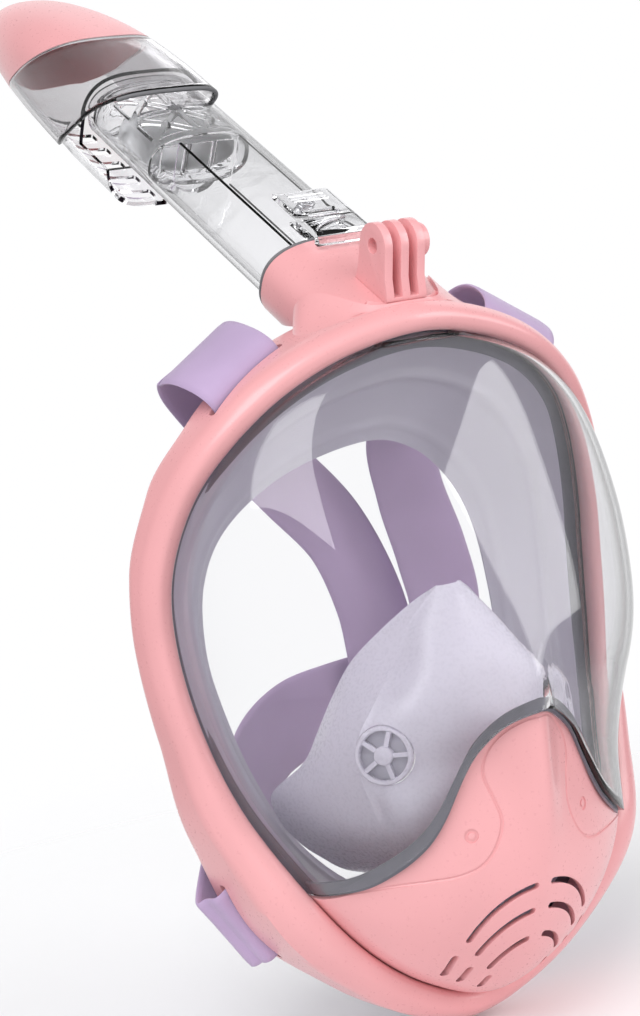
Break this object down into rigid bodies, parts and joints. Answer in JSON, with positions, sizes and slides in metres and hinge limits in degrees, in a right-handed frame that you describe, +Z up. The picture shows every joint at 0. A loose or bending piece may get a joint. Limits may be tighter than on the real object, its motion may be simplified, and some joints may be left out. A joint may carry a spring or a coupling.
{
  "type": "full face snorkel mask",
  "caption": "Full face snorkel mask: domed clear lens in a ring frame, vented chin cover, silicone skirt and nose pocket, dry-top snorkel, camera mount and slack head straps.",
  "frame": {"origin": "centre of the face seal on the mask's midplane, where the wearer's face holds it", "axes": "+Z up, -Y the way the wearer looks, +X towards the wearer's left"},
  "size_m": [0.1876, 0.3249, 0.3744],
  "materials": {
    "pink_plastic": "satin",
    "clear_lens": "polished clear",
    "clear_plastic": "polished clear",
    "smoked_plastic": "polished smoked",
    "skirt_silicone": "satin silicone",
    "dark_silicone": "matt",
    "grey_plastic": "matt",
    "float_plastic": "matt",
    "strap_elastic": "smooth elastic band",
    "steel": "plain"
  },
  "bodies": {
    "mask": {"frame": "pink_plastic", "lens": "clear_lens", "clamp_ring": "grey_plastic", "chin_cover": "pink_plastic", "face_skirt": "skirt_silicone", "nose_pocket": "skirt_silicone", "inhale_valve_seat_left": "skirt_silicone", "inhale_valve_seat_right": "skirt_silicone", "purge_valve_seat": "grey_plastic", "snorkel_socket": "pink_plastic", "socket_gasket": "dark_silicone", "camera_mount": "pink_plastic", "mount_nut": "pink_plastic", "strap_upper_right": "strap_elastic", "strap_upper_left": "strap_elastic", "strap_lower": "strap_elastic"},
    "snorkel": {"snorkel_tube": "clear_plastic", "latch_bracket": "clear_plastic", "latch_pin": "steel", "latch_spring": "steel", "float_cage": "clear_plastic", "float_seat": "clear_plastic", "head_body": "clear_plastic", "head_sleeve": "smoked_plastic", "head_cap": "pink_plastic"},
    "latch": {"latch_lever": "clear_plastic"},
    "float": {"float": "float_plastic", "float_seal": "dark_silicone"},
    "inhale_flap_left": {"inhale_flap_left": "dark_silicone"},
    "inhale_flap_right": {"inhale_flap_right": "dark_silicone"},
    "purge_flap": {"purge_flap": "dark_silicone"},
    "exhale_flap_left": {"exhale_flap_left": "dark_silicone"},
    "exhale_flap_right": {"exhale_flap_right": "dark_silicone"}
  },
  "joints": [
    {"name": "snorkel_pull_off", "type": "slide", "parent": "mask", "child": "snorkel", "axis": [0, 0.8599, 0.5105], "range_m": [0, 0.022]},
    {"name": "latch_press", "type": "hinge", "parent": "snorkel", "child": "latch", "pos_m": [0, -0.00715, 0.14721], "axis": [-1, 0, 0], "range_deg": [0, 10], "stiffness_Nm_per_rad": 0.05, "springref_deg": -5.73, "deforming": ["latch_spring"]},
    {"name": "float_rise", "type": "slide", "parent": "snorkel", "child": "float", "axis": [0, 0.8599, 0.5105], "range_m": [0, 0.0095]},
    {"name": "inhale_flap_left_open", "type": "slide", "parent": "mask", "child": "inhale_flap_left", "axis": [-0.7217, 0.6816, -0.1203], "range_m": [0, 0.0015], "stiffness_N_per_m": 20, "springref_m": -0.001},
    {"name": "inhale_flap_right_open", "type": "slide", "parent": "mask", "child": "inhale_flap_right", "axis": [0.7217, 0.6816, -0.1203], "range_m": [0, 0.0015], "stiffness_N_per_m": 20, "springref_m": -0.001},
    {"name": "purge_flap_open", "type": "slide", "parent": "mask", "child": "purge_flap", "axis": [0, -0.7779, -0.6283], "range_m": [0, 0.0015], "stiffness_N_per_m": 20, "springref_m": -0.001},
    {"name": "exhale_flap_left_open", "type": "hinge", "parent": "mask", "child": "exhale_flap_left", "pos_m": [0.021, -0.02445, 0.11856], "axis": [0, 0.5105, -0.8599], "range_deg": [0, 20], "stiffness_Nm_per_rad": 0.0006, "springref_deg": -5.73},
    {"name": "exhale_flap_right_open", "type": "hinge", "parent": "mask", "child": "exhale_flap_right", "pos_m": [-0.021, -0.02445, 0.11856], "axis": [0, -0.5105, 0.8599], "range_deg": [0, 20], "stiffness_Nm_per_rad": 0.0006, "springref_deg": -5.73}
  ]
}
